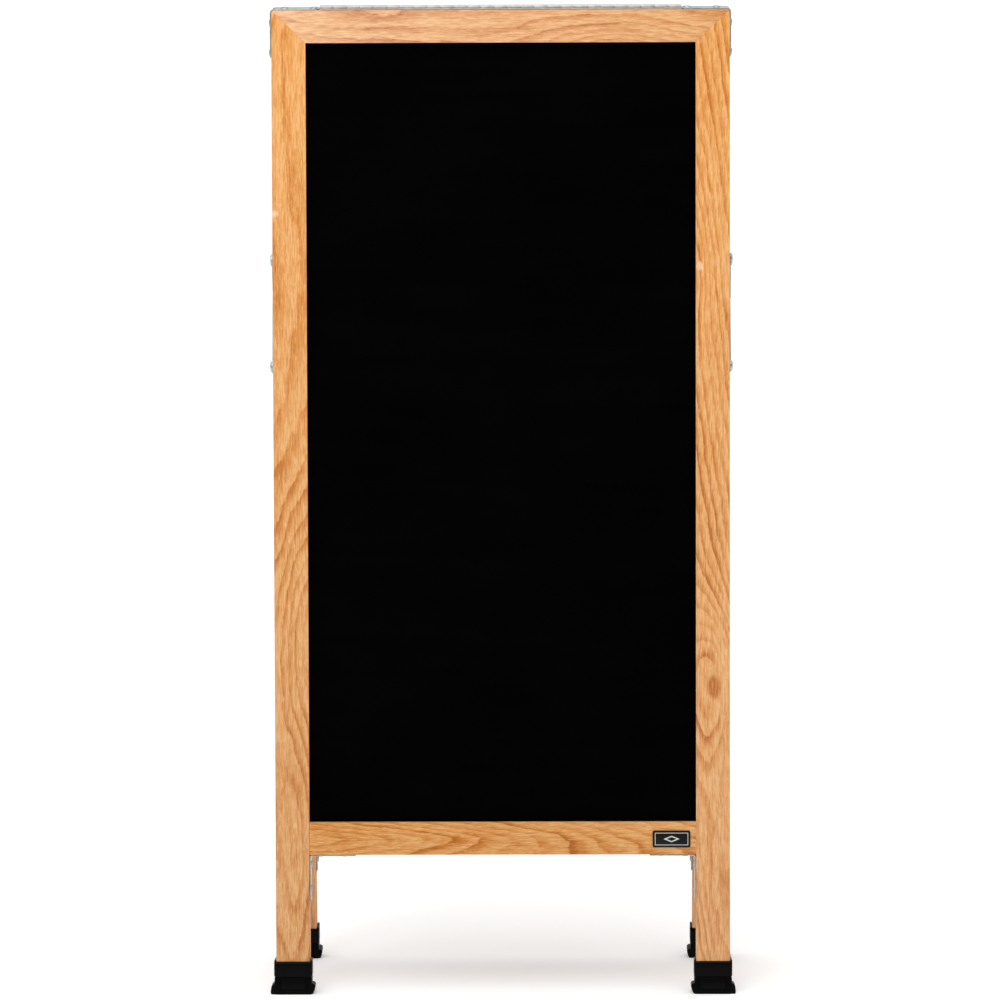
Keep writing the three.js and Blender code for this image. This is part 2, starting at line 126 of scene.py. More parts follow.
# ---------------------------------------------------------------- node helpers
class Nodes:
    """A short way to write a material's node tree."""

    def __init__(self, name):
        self.material = bpy.data.materials.new(name)
        self.material.use_nodes = True
        self.tree = self.material.node_tree
        self.tree.nodes.clear()
        self.out = self.tree.nodes.new("ShaderNodeOutputMaterial")
        self.shader = self.tree.nodes.new("ShaderNodeBsdfPrincipled")
        self.tree.links.new(self.shader.outputs[0], self.out.inputs[0])

    def put(self, socket, value):
        if isinstance(value, bpy.types.NodeSocket):
            self.tree.links.new(value, socket)
        else:
            socket.default_value = value

    def node(self, kind, inputs=None, **settings):
        made = self.tree.nodes.new("ShaderNode" + kind)
        for key, value in settings.items():
            setattr(made, key, value)
        for key, value in (inputs or {}).items():
            self.put(made.inputs[key], value)
        return made

    def math(self, operation, a, b=0.0, c=0.0):
        return self.node("Math", {0: a, 1: b, 2: c}, operation=operation).outputs[0]

    def attribute(self, name):
        return self.node("Attribute", attribute_name=name)

    def split(self, name):
        """The three numbers of a vector attribute."""
        return self.node("SeparateXYZ", {0: self.attribute(name).outputs["Vector"]}).outputs[:]

    def combine(self, x, y, z):
        return self.node("CombineXYZ", {0: x, 1: y, 2: z}).outputs[0]

    def noise(self, vector, scale, detail=2.0, roughness=0.5):
        made = self.node("TexNoise", {"Vector": vector, "Scale": scale, "Detail": detail,
                                      "Roughness": roughness})
        return made.outputs["Fac"]

    def ramp(self, value, stops):
        made = self.node("ValToRGB", {0: value})
        ramp = made.color_ramp
        while len(ramp.elements) < len(stops):
            ramp.elements.new(0.5)
        for element, (place, colour) in zip(ramp.elements, stops):
            element.position = place
            element.color = colour
        return made.outputs[0]

    def span(self, value, low, high, new_low=0.0, new_high=1.0, smooth=True):
        made = self.node("MapRange", {0: value, 1: low, 2: high, 3: new_low, 4: new_high})
        made.interpolation_type = "SMOOTHSTEP" if smooth else "LINEAR"
        return made.outputs[0]

    def mix(self, amount, a, b):
        made = self.node("Mix", data_type="RGBA")
        self.put(made.inputs["Factor"], amount)
        self.put(made.inputs["A"], a)
        self.put(made.inputs["B"], b)
        return made.outputs["Result"]

    def bump(self, height, strength, distance):
        made = self.node("Bump", {"Strength": strength, "Distance": distance, "Height": height})
        return made.outputs[0]

    def shade(self, **values):
        names = {"colour": "Base Color", "roughness": "Roughness", "metallic": "Metallic",
                 "normal": "Normal", "coat": "Coat Weight", "coat_roughness": "Coat Roughness",
                 "specular": "Specular IOR Level"}
        for key, value in values.items():
            self.put(self.shader.inputs[names[key]], value)
        return self.material


def rgb(r, g, b):
    """An sRGB colour of 0 to 255 as linear red, green, blue and alpha."""
    def linear(c):
        c /= 255
        return c / 12.92 if c <= 0.04045 else ((c + 0.055) / 1.055) ** 2.4
    return (linear(r), linear(g), linear(b), 1.0)


# ---------------------------------------------------------------- materials
# How many spots in a piece of wood its rings bend round, and the millimetres between two rings.
SWIRLS = 3
RING_WIDTH = 8.0


def make_oak():
    """Plain-sawn oak, in millimetres. The piece's attributes say what part of the tree it is:
    grain holds the place along, across and through the piece; pith holds how far the tree's heart
    lies across and through, and how fast it comes nearer along the piece; lean is how fast it
    drifts across; each swirl holds the place and the reach of a spot that the rings bend round,
    and pull and squeeze hold the three swirls' strengths and how much longer than wide they are."""
    n = Nodes("oak")
    along, across, through = n.split("grain")
    off_y, off_z, slope = n.split("pith")
    lean = n.attribute("lean").outputs["Fac"]
    seed = n.attribute("seed").outputs["Fac"]

    def streaks(lengthwise, crosswise, detail, roughness):
        """Noise drawn out along the grain, with its frequencies per millimetre."""
        vector = n.combine(n.math("MULTIPLY", along, lengthwise), n.math("MULTIPLY", across, crosswise),
                           n.math("MULTIPLY", through, crosswise))
        made = n.node("TexNoise", {"Vector": vector, "W": seed, "Scale": 1.0, "Detail": detail,
                                   "Roughness": roughness}, noise_dimensions="4D")
        return n.math("SUBTRACT", made.outputs["Fac"], 0.5)

    def distance(place, flat):
        """How far a point lies from a place, with distances along the piece counted less."""
        du = n.math("MULTIPLY", n.math("SUBTRACT", along, place[0]), flat)
        dv = n.math("SUBTRACT", across, place[1])
        return n.math("SQRT", n.math("ADD", n.math("MULTIPLY", du, du), n.math("MULTIPLY", dv, dv)))

    sway = streaks(0.0055, 0.02, 3.0, 0.5)
    shiver = streaks(0.03, 0.09, 3.0, 0.6)
    tremble = streaks(0.16, 0.5, 3.0, 0.65)
    y = n.math("SUBTRACT", across, n.math("MULTIPLY_ADD", lean, along, off_y))
    y = n.math("MULTIPLY_ADD", sway, -20.0, y)
    z = n.math("MULTIPLY_ADD", along, slope, n.math("SUBTRACT", through, off_z))
    z = n.math("MULTIPLY_ADD", sway, 20.0, z)
    radius = n.math("SQRT", n.math("ADD", n.math("MULTIPLY", y, y), n.math("MULTIPLY", z, z)))
    pulls, squeezes = n.split("pull"), n.split("squeeze")
    for i in range(SWIRLS):
        place = n.split(f"swirl_{i + 1}")
        far = n.math("DIVIDE", distance(place, squeezes[i]), place[2])
        bend = n.math("EXPONENT", n.math("MULTIPLY", n.math("MULTIPLY", far, far), -1.0))
        radius = n.math("MULTIPLY_ADD", bend, pulls[i], radius)
    radius = n.math("MULTIPLY_ADD", shiver, 7.0, radius)
    radius = n.math("MULTIPLY_ADD", tremble, 2.2, radius)

    # Each year starts with a broad porous band, crisp on one side, that fades to pale late wood.
    rings = n.math("MULTIPLY", radius, 1 / RING_WIDTH)
    phase = n.math("FRACT", rings)
    vary = n.node("TexWhiteNoise", {"W": n.math("ADD", n.math("FLOOR", rings), seed)},
                  noise_dimensions="1D").outputs["Value"]
    fade = n.math("SUBTRACT", 1.0, n.span(phase, 0.14, 0.74, smooth=False))
    band = n.math("MULTIPLY", n.span(phase, 0.0, 0.12), n.math("POWER", fade, 1.25))
    band = n.math("MULTIPLY", band, n.span(vary, 0.0, 1.0, 0.25, 1.0, False))
    band = n.math("MULTIPLY", band, n.span(streaks(0.012, 0.05, 2.0, 0.5), -0.2, 0.12, 0.4, 1.0))
    dashes = streaks(0.085, 0.55, 3.0, 0.75)
    threads = streaks(0.06, 1.0, 2.0, 0.7)
    cloud = streaks(0.012, 0.035, 3.0, 0.55)
    pores = n.span(streaks(0.10, 1.6, 2.0, 0.6), 0.04, 0.18)
    porous = n.math("MULTIPLY", pores, n.math("MULTIPLY_ADD", band, 0.8, 0.2))

    tone = n.math("MULTIPLY_ADD", dashes, 1.35, 0.19)
    tone = n.math("MULTIPLY_ADD", threads, 1.25, tone)
    tone = n.math("MULTIPLY_ADD", cloud, 0.40, tone)
    tone = n.math("MULTIPLY_ADD", porous, 0.16, tone)
    core_x, core_y, core_size = n.split("core")
    far = n.math("MULTIPLY_ADD", shiver, 6.0, distance((core_x, core_y), 0.6))
    core = n.span(far, core_size, n.math("MULTIPLY", core_size, 0.5))
    calm = n.span(far, n.math("MULTIPLY", core_size, 1.3), n.math("MULTIPLY", core_size, 2.3),
                  0.25, 1.0)
    tone = n.math("MULTIPLY_ADD", n.math("MULTIPLY", band, calm), 0.90, tone)
    tone = n.math("MULTIPLY_ADD", core, 0.62, tone)
    colour = n.ramp(tone, [(0.0, rgb(243, 188, 128)), (0.25, rgb(232, 168, 104)),
                           (0.5, rgb(221, 150, 84)), (0.75, rgb(206, 130, 64)),
                           (1.0, rgb(186, 108, 47))])
    # The value attribute scales the colour's brightness as painted shade, darker towards the bottom of
    # the front panel.
    hue = n.node("HueSaturation", {"Hue": 0.5, "Saturation": n.attribute("tint").outputs["Fac"],
                                   "Value": n.attribute("value").outputs["Fac"], "Color": colour})
    # Pale rays, a pale fleck where a small twig was, and dark glue lines at the joints.
    rays = n.span(streaks(0.11, 0.6, 1.0, 0.5), 0.14, 0.24)
    colour = n.mix(n.math("MULTIPLY", rays, 0.35), hue.outputs[0], rgb(244, 200, 150))
    fleck_x, fleck_y, fleck_size = n.split("fleck")
    far = n.math("MULTIPLY_ADD", tremble, 11.0, distance((fleck_x, fleck_y), 0.7))
    pale = n.span(far, fleck_size, n.math("MULTIPLY", fleck_size, 0.4))
    colour = n.mix(n.math("MULTIPLY", pale, 0.55), colour, rgb(250, 222, 184))
    colour = n.mix(n.attribute("joint").outputs["Fac"], colour, rgb(84, 50, 28))

    dips = n.math("MULTIPLY_ADD", porous, 0.8, n.math("MULTIPLY", band, 0.3))
    rough = n.math("MULTIPLY_ADD", dashes, 0.2, n.math("MULTIPLY_ADD", porous, 0.2, 0.46))
    relief = n.bump(n.math("SUBTRACT", 1.0, dips), 0.3, 0.00016)
    return n.shade(colour=colour, roughness=rough, normal=relief, coat=0.06, coat_roughness=0.35,
                   specular=0.25)


def make_board():
    n = Nodes("chalkboard")
    at = n.node("TexCoord").outputs["Object"]
    cloud = n.noise(at, 9.0, 5.0, 0.6)
    dust = n.noise(at, 900.0, 2.0, 0.6)
    wipe = n.node("Mapping", {"Vector": at, "Scale": (3.0, 3.0, 26.0), "Rotation": (0, 0.5, 0)})
    streak = n.noise(wipe.outputs[0], 2.0, 4.0, 0.55)
    tone = n.math("MULTIPLY_ADD", streak, 0.5, n.math("MULTIPLY", cloud, 0.5))
    colour = n.ramp(tone, [(0.3, rgb(0, 0, 0)), (0.7, rgb(3, 3, 3))])
    rough = n.math("MULTIPLY_ADD", dust, 0.1, n.math("MULTIPLY_ADD", streak, 0.12, 0.62))
    return n.shade(colour=colour, roughness=rough, normal=n.bump(dust, 0.15, 0.00008), specular=0.012)


def make_rubber():
    n = Nodes("rubber")
    at = n.node("TexCoord").outputs["Object"]
    fine = n.noise(at, 1400.0, 3.0, 0.6)
    cloud = n.noise(at, 60.0, 3.0, 0.6)
    colour = n.ramp(cloud, [(0.3, rgb(1, 1, 1)), (0.7, rgb(3, 3, 3))])
    scuff = n.span(n.noise(at, 160.0, 4.0, 0.65), 0.58, 0.75)
    colour = n.mix(n.math("MULTIPLY", scuff, 0.25), colour, rgb(10, 9, 8))
    rough = n.math("MULTIPLY_ADD", fine, 0.14, 0.26)
    return n.shade(colour=colour, roughness=rough, normal=n.bump(fine, 0.25, 0.0001), specular=0.07)


def make_zinc(name, dark, middle, light, gloss):
    """Zinc plate from three shades; gloss is its lowest roughness."""
    n = Nodes(name)
    at = n.node("TexCoord").outputs["Object"]
    cloud = n.noise(at, 70.0, 4.0, 0.6)
    spangle = n.node("TexVoronoi", {"Vector": at, "Scale": 320.0}).outputs["Color"]
    spangle = n.node("SeparateXYZ", {0: spangle}).outputs[0]
    drawn = n.node("Mapping", {"Vector": at, "Scale": (6.0, 400.0, 400.0)})
    lines = n.noise(drawn.outputs[0], 3.0, 2.0, 0.5)
    tone = n.math("MULTIPLY_ADD", spangle, 0.22, n.math("MULTIPLY", cloud, 0.78))
    colour = n.ramp(tone, [(0.25, dark), (0.6, middle), (0.85, light)])
    rough = n.math("MULTIPLY_ADD", lines, 0.14, n.math("MULTIPLY_ADD", cloud, 0.2, gloss))
    return n.shade(colour=colour, metallic=1.0, roughness=rough, normal=n.bump(lines, 0.08, 0.00005))


# Half the keyline's width and height, in millimetres.
KEYLINE = (16.9, 6.15)


def make_label():
    """A gloss plate with a plain keyline and one small lozenge, in place of any writing."""
    n = Nodes("label")
    u, v, _ = n.split("face")
    au, av = n.math("ABSOLUTE", u), n.math("ABSOLUTE", v)
    edge = n.math("MAXIMUM", n.math("SUBTRACT", au, KEYLINE[0]), n.math("SUBTRACT", av, KEYLINE[1]))
    line = n.span(n.math("ABSOLUTE", edge), 0.42, 0.18)
    gem = n.math("ADD", n.math("MULTIPLY", au, 0.22), n.math("MULTIPLY", av, 0.55))
    mark = n.span(n.math("ABSOLUTE", n.math("SUBTRACT", gem, 1.5)), 0.42, 0.25)
    ink = n.math("MAXIMUM", line, mark)
    grit = n.noise(n.node("TexCoord").outputs["Object"], 700.0, 2.0)
    base = n.ramp(grit, [(0.3, rgb(9, 9, 10)), (0.7, rgb(14, 14, 15))])
    colour = n.mix(ink, base, rgb(206, 205, 198))
    return n.shade(colour=colour, roughness=n.math("MULTIPLY_ADD", grit, 0.1, 0.3), specular=0.2)


MATERIALS = {"oak": make_oak(), "chalkboard": make_board(), "rubber": make_rubber(),
             "zinc": make_zinc("zinc", rgb(146, 157, 162), rgb(184, 194, 197),
                               rgb(208, 213, 212), 0.2),
             "hinge": make_zinc("hinge_steel", rgb(180, 176, 170), rgb(206, 202, 196),
                                rgb(220, 217, 211), 0.42),
             "label": make_label()}


# ---------------------------------------------------------------- mesh helpers
def finish_piece(name, bm, matrix, slot, body, replaced, smooth=35, look=None):
    """Turns a bmesh drawn in a part's own frame into a piece that rides on a body. replaced names
    its CAD nodes, and look its material where that isn't the one named after its slot."""
    bmesh.ops.transform(bm, matrix=matrix, verts=bm.verts)
    bmesh.ops.recalc_face_normals(bm, faces=bm.faces)
    mesh = bpy.data.meshes.new(name)
    bm.to_mesh(mesh)
    bm.free()
    for polygon in mesh.polygons:
        polygon.use_smooth = True
    mesh.set_sharp_from_angle(angle=math.radians(smooth))
    mesh.materials.append(MATERIALS[look or slot])
    piece = bpy.data.objects.new(name, mesh)
    bpy.context.scene.collection.objects.link(piece)
    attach(piece, body)
    if replaced:
        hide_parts(*replaced)


def vector_attribute(bm, name, values):
    layer = bm.verts.layers.float_vector.new(name)
    for vert in bm.verts:
        vert[layer] = values(vert)


def float_attribute(bm, name, values):
    layer = bm.verts.layers.float.new(name)
    for vert in bm.verts:
        vert[layer] = values(vert)


def prism(bm, points, low, high, axis):
    """Extrudes an outline. axis Y: points are x, z; axis X: points are y, z."""
    def at(p, h):
        return (p[0], h, p[1]) if axis == "Y" else (h, p[0], p[1])
    bottom = [bm.verts.new(at(p, low)) for p in points]
    top = [bm.verts.new(at(p, high)) for p in points]
    count = len(points)
    bm.faces.new(bottom)
    bm.faces.new(top)
    for i in range(count):
        j = (i + 1) % count
        bm.faces.new((bottom[i], bottom[j], top[j], top[i]))
    bmesh.ops.recalc_face_normals(bm, faces=bm.faces)


def absorb(bm, extra):
    """Adds a second bmesh to the first and frees it."""
    mesh = bpy.data.meshes.new("extra")
    extra.to_mesh(mesh)
    extra.free()
    bm.from_mesh(mesh)
    bpy.data.meshes.remove(mesh)


def bevel(bm, edges, width, segments):
    # A mirrored outline leaves its faces inside out, and they would be bevelled outwards.
    bmesh.ops.recalc_face_normals(bm, faces=bm.faces)
    edges = [e for e in edges if e.is_valid]
    if edges:
        bmesh.ops.bevel(bm, geom=edges, offset=width, segments=segments, profile=0.5,
                        affect="EDGES", clamp_overlap=True)


def sharp_edges(bm, degrees=30):
    limit = math.radians(degrees)
    return [e for e in bm.edges if len(e.link_faces) == 2 and e.calc_face_angle(0) > limit]


def cut_across(bm, axis, places):
    """Adds cross cuts at places along an axis."""
    for place in places:
        bmesh.ops.bisect_plane(bm, geom=bm.verts[:] + bm.edges[:] + bm.faces[:], dist=1e-7,
                               plane_co=axis * place, plane_no=axis)


def arc(cx, cy, radius, start, end, count):
    """Points of an arc, with angles in degrees."""
    points = []
    for i in range(count + 1):
        a = math.radians(start + (end - start) * i / count)
        points.append((cx + radius * math.cos(a), cy + radius * math.sin(a)))
    return points


def ring_points(x0, x1, y0, y1, radius):
    """A rounded rectangle, as pairs."""
    points = []
    for cx, cy, start in ((x1 - radius, y1 - radius, 0), (x0 + radius, y1 - radius, 90),
                          (x0 + radius, y0 + radius, 180), (x1 - radius, y0 + radius, 270)):
        points += arc(cx, cy, radius, start, start + 90, 5)
    return points


# ---------------------------------------------------------------- wood
CUT_STEP = 30 * MM
FAR_AWAY = (9999.0, 9999.0, 1.0)


def wood_piece(name, outline, panel, mitres, grain_axis, centre, looks):
    """A board cut to an outline in x and z. mitres says which edges are glued joints."""
    bm = bmesh.new()
    prism(bm, outline, -WOOD_OUTER, -WOOD_INNER, "Y")
    joint = bm.faces.layers.int.new("joint")
    for face in bm.faces:
        face[joint] = int(mitres(face.calc_center_median(), face.normal))
    eased = [e for e in sharp_edges(bm, 8) if not any(f[joint] for f in e.link_faces)]
    glued = [e for e in sharp_edges(bm, 8) if any(f[joint] for f in e.link_faces)]
    bevel(bm, eased, 1.1 * MM, 3)
    bevel(bm, glued, 0.25 * MM, 1)
    cut_lengthwise(bm, grain_axis)

    def grain(vert):
        x, y, z = vert.co / MM
        along, across = (z, x) if grain_axis == "Z" else (x, z)
        return Vector((along, across - centre, y + WOOD_MIDDLE / MM))

    def faded(start, end):
        """Changes evenly from a stile's top, or a rail's left end, to the other end."""
        def at(vert):
            x, _, z = vert.co / MM
            share = -z / 1000 if grain_axis == "Z" else 0.5 + x / (2 * HALF_WIDTH / MM)
            return start + (end - start) * share
        return at

    swirls = (list(looks.get("swirls", ())) + [(*FAR_AWAY, 0.0, 1.0)] * SWIRLS)[:SWIRLS]
    vector_attribute(bm, "grain", grain)
    vector_attribute(bm, "pith", lambda vert: Vector(looks["pith"]))
    for i, swirl in enumerate(swirls, 1):
        vector_attribute(bm, f"swirl_{i}", lambda vert, spot=swirl: Vector(spot[:3]))
    vector_attribute(bm, "pull", lambda vert: Vector([spot[3] for spot in swirls]))
    vector_attribute(bm, "squeeze", lambda vert: Vector([spot[4] for spot in swirls]))
    vector_attribute(bm, "core", lambda vert: Vector(looks.get("core", FAR_AWAY)))
    vector_attribute(bm, "fleck", lambda vert: Vector(looks.get("fleck", FAR_AWAY)))
    float_attribute(bm, "lean", lambda vert: looks.get("lean", 0.0))
    float_attribute(bm, "tint", faded(*looks["tint"]))
    # Painted shade: value makes the wood darker from one end of the piece to the other.
    float_attribute(bm, "value", faded(*looks["value"]))
    float_attribute(bm, "seed", lambda vert: looks["seed"])
    dark = bm.verts.layers.float.new("joint")
    for vert in bm.verts:
        glue = all(mitres(f.calc_center_median(), f.normal) for f in vert.link_faces)
        vert[dark] = 1.0 if glue else 0.0
    finish_piece(f"{panel}_{name}_wood", bm, PANELS[panel], "oak", f"{panel}_panel",
                 [f"{panel}_{name}"], 40)


def cut_lengthwise(bm, grain_axis):
    """Cuts across the grain every few centimetres, so that attributes change evenly along it."""
    index = 2 if grain_axis == "Z" else 0
    low = min(v.co[index] for v in bm.verts)
    high = max(v.co[index] for v in bm.verts)
    axis = Vector((0, 0, 1)) if grain_axis == "Z" else Vector((1, 0, 0))
    count = max(1, int((high - low) / CUT_STEP))
    cut_across(bm, axis, [low + (high - low) * i / count for i in range(1, count)])


def stile_outline(side):
    top = arc(HALF_WIDTH - CORNER, -CORNER - GAP / 2, CORNER, 0, 45, 4)
    points = [(INNER_X, -LEG_LENGTH), (HALF_WIDTH, -LEG_LENGTH), *top,
              (INNER_X, -TOP_RAIL - GAP / 2)]
    return [(side * x, z - WOOD_DROP) for x, z in points]


def top_rail_outline():
    right = [(INNER_X, -TOP_RAIL), *arc(HALF_WIDTH - CORNER, -CORNER, CORNER, 45, 90, 4)]
    left = [(-x, z) for x, z in reversed(right)]
    return [(x, z - WOOD_DROP) for x, z in right + left]


def bottom_rail_outline():
    x = INNER_X - 0.1 * MM
    points = [(x, -RAIL_BOTTOM), (x, -BOARD_BOTTOM), (-x, -BOARD_BOTTOM), (-x, -RAIL_BOTTOM)]
    return [(a, z - WOOD_DROP) for a, z in points]


def on_mitre(centre, normal):
    """True for a slanted joint face at a top corner."""
    return abs(normal.x) > 0.5 and abs(normal.z) > 0.5 and abs(centre.x) < HALF_WIDTH - 5 * MM


def on_butt(centre, normal):
    """True for the ends of a bottom rail."""
    return abs(normal.x) > 0.9 and abs(centre.x) > INNER_X - 1 * MM


# Middles of the pieces across the grain, in millimetres.
STILE_CENTRE = 217.5
TOP_CENTRE = -19.8
BOTTOM_CENTRE = -857.05
WOOD_LOOKS = {
    # pith: (heart across, heart through, slope); swirls: (along, across, reach, pull, squeeze);
    # core and fleck: (along, across, size); tint and value: from one end to the other, where value is
    # painted shade that darkens the wood, most on the front panel and towards its bottom
    "front": {
        "stile_left": {"pith": (-22.0, -60.0, -0.085), "tint": (1.05, 0.97), "value": (1.0, 0.79),
                       "seed": 11.3, "fleck": (-211.0, -14.5, 4.2),
                       "swirls": [(-645.0, 24.0, 40.0, 46.0, 0.30), (-20.0, 0.0, 40.0, 34.0, 0.18),
                                  (-860.0, 3.0, 14.0, -14.0, 0.12)]},
        "stile_right": {"pith": (-130.0, -30.0, 0.0), "lean": -0.15, "tint": (1.05, 0.95),
                        "value": (0.99, 0.84), "seed": 23.7, "fleck": (-267.0, -13.0, 4.0),
                        "core": (-700.0, 1.0, 9.0),
                        "swirls": [(-698.0, 1.0, 30.0, -46.0, 0.36), (-262.0, -18.0, 16.0, -14.0, 0.3),
                                   (-890.0, 24.0, 30.0, -22.0, 0.28)]},
        "top_rail": {"pith": (30.0, -65.0, 0.0), "lean": -0.05, "tint": (0.85, 0.97),
                     "value": (1.0, 0.89), "seed": 37.1,
                     "swirls": [(118.0, -34.0, 36.0, 42.0, 0.5)]},
        "bottom_rail": {"pith": (-27.0, -50.0, 0.16), "lean": -0.13, "tint": (1.06, 1.03),
                        "value": (0.79, 0.82), "seed": 41.9,
                        "swirls": [(-110.0, 0.0, 11.0, -16.0, 0.07)]},
    },
    "rear": {
        "stile_left": {"pith": (20.0, -40.0, 0.04), "tint": (1.0, 0.92), "value": (1.0, 0.98),
                       "seed": 53.2, "swirls": [(-330.0, 20.0, 28.0, 26.0, 0.26)]},
        "stile_right": {"pith": (-18.0, -44.0, 0.035), "tint": (1.02, 0.94), "value": (0.99, 0.97),
                        "seed": 67.4, "core": (-420.0, 6.0, 5.0),
                        "swirls": [(-420.0, 6.0, 20.0, 26.0, 0.4)]},
        "top_rail": {"pith": (-14.0, -34.0, 0.05), "tint": (0.95, 0.98), "value": (1.0, 1.0),
                     "seed": 71.8},
        "bottom_rail": {"pith": (3.0, -30.0, -0.12), "lean": 0.04, "tint": (1.04, 1.02),
                        "value": (0.92, 0.92), "seed": 83.5},
    },
}

for panel_name in PANELS:
    looks = WOOD_LOOKS[panel_name]
    for side_name, world_side in SIDES:
        side = -world_side if panel_name == "rear" else world_side
        key = f"stile_{side_name}"
        wood_piece(key, stile_outline(side), panel_name, on_mitre, "Z", side * STILE_CENTRE,
                   looks[key])
    wood_piece("top_rail", top_rail_outline(), panel_name, on_mitre, "X", TOP_CENTRE,
               looks["top_rail"])
    wood_piece("bottom_rail", bottom_rail_outline(), panel_name, on_butt, "X", BOTTOM_CENTRE,
               looks["bottom_rail"])


# ---------------------------------------------------------------- writing boards
def board(panel):
    bm = bmesh.new()
    x = INNER_X + BOARD_IN_GROOVE
    z0 = -BOARD_BOTTOM - BOARD_IN_GROOVE - WOOD_DROP
    z1 = -TOP_RAIL + BOARD_IN_GROOVE - WOOD_DROP
    outline = [(-x, z0), (x, z0), (x, z1), (-x, z1)]
    prism(bm, outline, -BOARD_OUTER, -BOARD_INNER, "Y")
    bevel(bm, sharp_edges(bm), 0.4 * MM, 2)
    finish_piece(f"{panel}_writing_board", bm, PANELS[panel], "chalkboard", f"{panel}_panel",
                 [f"{panel}_chalkboard"])


for panel_name in PANELS:
    board(panel_name)


# ---------------------------------------------------------------- straps
def densify(points, step):
    """The same line with extra points on its long stretches."""
    made = [points[0]]
    for a, b in zip(points, points[1:]):
        count = max(1, int((Vector(b) - Vector(a)).length / step))
        made += [tuple(Vector(a).lerp(Vector(b), i / count)) for i in range(1, count + 1)]
    return made


def strap(name, path, inward, panel, replaced):
    """A bent strip with rounded ends. path runs along its face on the wood, in x and z, and
    inward is 1 or -1 for the side of the path on which the metal lies."""
    ends = [0.0, 0.25 * MM, 0.6 * MM, 1.1 * MM, 1.7 * MM, 2.4 * MM]
    start, stop = Vector(path[0]), Vector(path[-1])
    first = (Vector(path[1]) - start).normalized()
    last = (Vector(path[-2]) - stop).normalized()
    inset = [tuple(start + first * ends[-1]), *path[1:-1], tuple(stop + last * ends[-1])]
    line = [tuple(start + first * d) for d in ends[:-1]] + densify(inset, 6 * MM)
    line += [tuple(stop + last * d) for d in reversed(ends[:-1])]
    lengths = [0.0]
    for a, b in zip(line, line[1:]):
        lengths.append(lengths[-1] + (Vector(b) - Vector(a)).length)
    round_end, edge, half = ends[-1], 0.3 * MM, STRAP_WIDTH / 2
    bm = bmesh.new()
    rows = []
    for i, (x, z) in enumerate(line):
        before, after = Vector(line[max(0, i - 1)]), Vector(line[min(len(line) - 1, i + 1)])
        run = (after - before).normalized()
        normal = Vector((-run.y, run.x)) * inward
        d = min(lengths[i], lengths[-1] - lengths[i], round_end)
        width = half - round_end + math.sqrt(round_end ** 2 - (round_end - d) ** 2)
        lip = edge * min(1.0, 0.25 + d / (0.6 * MM))
        section = [(-width, edge), (-width + edge, 0), (width - edge, 0), (width, edge),
                   (width, STRAP_THICK - lip), (width - 0.3 * lip, STRAP_THICK - 0.3 * lip),
                   (width - lip, STRAP_THICK), (-width + lip, STRAP_THICK),
                   (-width + 0.3 * lip, STRAP_THICK - 0.3 * lip), (-width, STRAP_THICK - lip)]
        rows.append([bm.verts.new((x + normal.x * out, -WOOD_MIDDLE + y,
                                   z + normal.y * out - WOOD_DROP)) for y, out in section])
    count = len(rows[0])
    for a, b in zip(rows, rows[1:]):
        for i in range(count):
            j = (i + 1) % count
            bm.faces.new((a[i], a[j], b[j], b[i]))
    bm.faces.new(rows[0])
    bm.faces.new(list(reversed(rows[-1])))
    finish_piece(name, bm, PANELS[panel], "zinc", f"{panel}_panel", replaced, 50)


def top_bracket_path(side):
    reach = STRAP_LEG - STRAP_THICK - GAP
    points = [(HALF_WIDTH + FIT - reach, FIT),
              *arc(HALF_WIDTH - CORNER, -CORNER, CORNER + FIT, 90, 0, 10),
              (HALF_WIDTH + FIT, FIT - reach)]
    return [(side * x, z) for x, z in points]


def low_bracket_path(side):
    x, z, r = INNER_X - FIT, -RAIL_BOTTOM - FIT, 2.6 * MM
    reach = STRAP_LEG - 2 * MM
    points = [(x - reach, z), *arc(x - r, z - r, r, 90, 0, 8), (x, z - reach)]
    return [(side * a, b) for a, b in points]


# ---------------------------------------------------------------- screws and rivets
def dome(bm, radius, height, cross):
    """A pan head that stands on z = 0. cross is the half length of a cruciform recess, or 0."""
    steps, rings = 40, 9

    def top(x, y):
        r = math.hypot(x, y) / radius
        z = height * (1 - 0.30 * r ** 2 - 0.35 * r ** 8)
        if cross:
            arm = 0.19 * cross
            u, v = sorted((abs(x), abs(y)))
            inside = min(1.0, max(0.0, (arm - u) / (0.3 * arm))) if v < cross else 0.0
            fade = min(1.0, max(0.0, (cross - v) / (0.25 * cross)))
            z -= 0.62 * height * inside * fade
        return z
    centre = bm.verts.new((0, 0, top(0, 0)))
    previous = None
    for ring in range(1, rings + 1):
        r = radius * (ring / rings)
        row = []
        for i in range(steps):
            a = 2 * math.pi * (i + 0.5) / steps
            x, y = r * math.cos(a), r * math.sin(a)
            row.append(bm.verts.new((x, y, top(x, y))))
        for i in range(steps):
            j = (i + 1) % steps
            if previous is None:
                bm.faces.new((centre, row[i], row[j]))
            else:
                bm.faces.new((previous[i], row[i], row[j], previous[j]))
        previous = row
    under = [bm.verts.new((v.co.x, v.co.y, 0)) for v in previous]
    for i in range(steps):
        j = (i + 1) % steps
        bm.faces.new((previous[i], under[i], under[j], previous[j]))
    bm.faces.new(list(reversed(under)))


def head(name, place, direction, spin, matrix, body, radius, height, cross, replaced=()):
    """A screw or rivet head whose axis points in one of the part's own directions."""
    bm = bmesh.new()
    dome(bm, radius, height, cross)
    turn = Vector(direction).to_track_quat("Z", "X").to_matrix().to_4x4()
    local = Matrix.Translation(place) @ turn @ Matrix.Rotation(spin, 4, "Z")
    bmesh.ops.transform(bm, matrix=local, verts=bm.verts)
    finish_piece(name, bm, matrix, "zinc", body, replaced, 50)


TURNS = random.Random(5)
